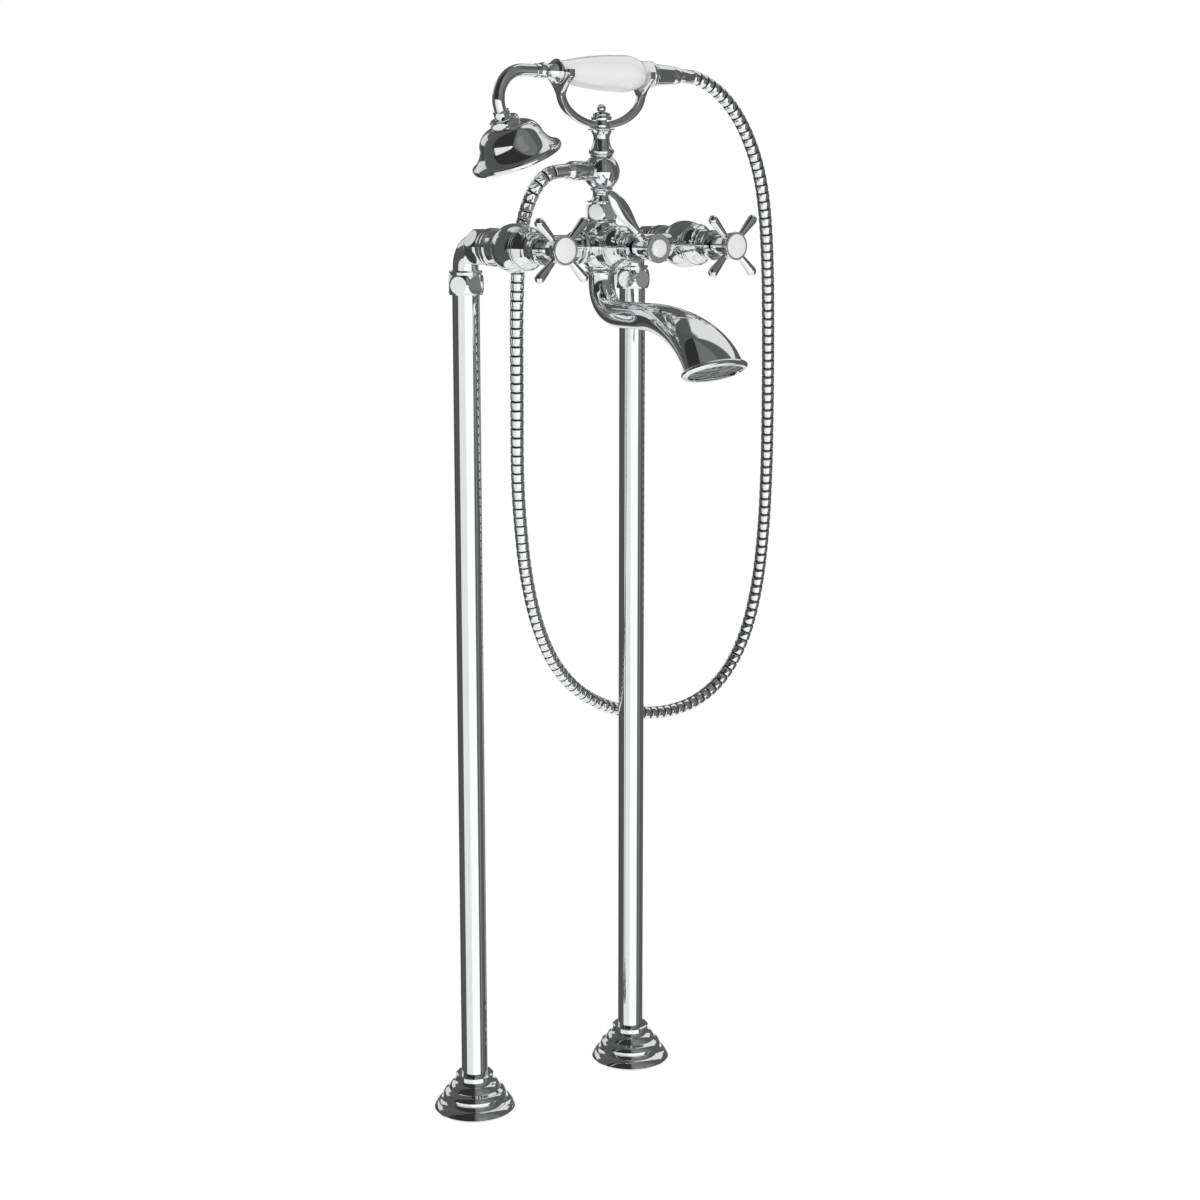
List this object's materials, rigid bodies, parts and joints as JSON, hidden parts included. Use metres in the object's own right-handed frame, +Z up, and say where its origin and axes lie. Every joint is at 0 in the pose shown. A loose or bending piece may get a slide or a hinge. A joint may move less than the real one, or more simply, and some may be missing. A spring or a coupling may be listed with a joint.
{
  "type": "floor standing bath filler",
  "caption": "Floor standing bath filler on two pipes, with cross handles, a lever diverter, a swivel spout and a hand shower on a cradle.",
  "frame": {"origin": "on the floor, midway between the two supply pipes, at the centre of the four floor fixings", "axes": "+Z up, X along the pair of pipes with hot at -X and cold at +X, the spout towards -Y"},
  "size_m": [0.4241, 0.3078, 1.0499],
  "materials": {
    "chrome": "polished chrome plate on brass",
    "porcelain": "glazed white porcelain",
    "raw_brass": "machined brass",
    "screw_steel": "plain steel",
    "hose_steel": "polished spiral wound metal hose",
    "grey_plastic": "moulded plastic",
    "seal_rubber": "rubber seal"
  },
  "bodies": {
    "root": {"cold_base_plate": "raw_brass", "cold_bonnet": "chrome", "cold_cartridge": "raw_brass", "cold_coupling_nut": "chrome", "cold_elbow": "chrome", "cold_floor_flange": "chrome", "cold_pipe_olive": "raw_brass", "cold_standpipe": "chrome", "cold_union_nut": "chrome", "cradle": "chrome", "cradle_post": "chrome", "diverter_bonnet": "chrome", "diverter_cartridge": "raw_brass", "finial": "chrome", "hot_base_plate": "raw_brass", "hot_bonnet": "chrome", "hot_cartridge": "raw_brass", "hot_coupling_nut": "chrome", "hot_elbow": "chrome", "hot_floor_flange": "chrome", "hot_pipe_olive": "raw_brass", "hot_standpipe": "chrome", "hot_union_nut": "chrome", "mixer_body": "chrome", "outlet_hose_nut": "chrome", "riser_ball": "chrome", "riser_nut": "chrome", "spout_bearing": "grey_plastic", "spout_seal": "seal_rubber"},
    "hot_handle": {"hot_cross_handle": "chrome", "hot_spindle": "raw_brass", "hot_index_disc": "porcelain", "hot_handle_screw": "screw_steel"},
    "cold_handle": {"cold_cross_handle": "chrome", "cold_spindle": "raw_brass", "cold_index_disc": "porcelain", "cold_handle_screw": "screw_steel"},
    "diverter_lever": {"diverter_spindle": "raw_brass", "diverter_hub": "chrome", "diverter_lever": "chrome", "diverter_cap": "chrome", "diverter_screw": "screw_steel"},
    "spout": {"spout": "chrome", "spout_grub_screw": "screw_steel", "stream_straightener": "grey_plastic"},
    "handset": {"ceramic_grip": "porcelain", "handset_tube": "raw_brass", "front_ferrule": "chrome", "rear_ring": "chrome", "handset_union": "chrome", "handset_hose_nut": "chrome", "gooseneck": "chrome", "gooseneck_nut": "chrome", "rose_shell": "chrome", "rose_face": "chrome", "rose_nut": "chrome", "rose_collar": "chrome", "shower_hose": "hose_steel"}
  },
  "joints": [
    {"name": "hot_handle_turn", "type": "hinge", "parent": "root", "child": "hot_handle", "pos_m": [-0.1016, -0.1528, 0.8722], "axis": [0, -1, 0], "range_deg": [0, 90]},
    {"name": "cold_handle_turn", "type": "hinge", "parent": "root", "child": "cold_handle", "pos_m": [0.1016, -0.1528, 0.8722], "axis": [0, 1, 0], "range_deg": [0, 90]},
    {"name": "diverter_turn", "type": "hinge", "parent": "root", "child": "diverter_lever", "pos_m": [0, -0.1514, 0.8722], "axis": [0, 1, 0], "range_deg": [0, 84]},
    {"name": "spout_swivel", "type": "hinge", "parent": "root", "child": "spout", "pos_m": [0, -0.08, 0.84], "axis": [0, 0, 1], "range_deg": [-60, 60]},
    {"name": "handset_lift", "type": "slide", "parent": "root", "child": "handset", "axis": [0, 0, 1], "range_m": [0, 0.08], "deforming": ["shower_hose"]}
  ]
}
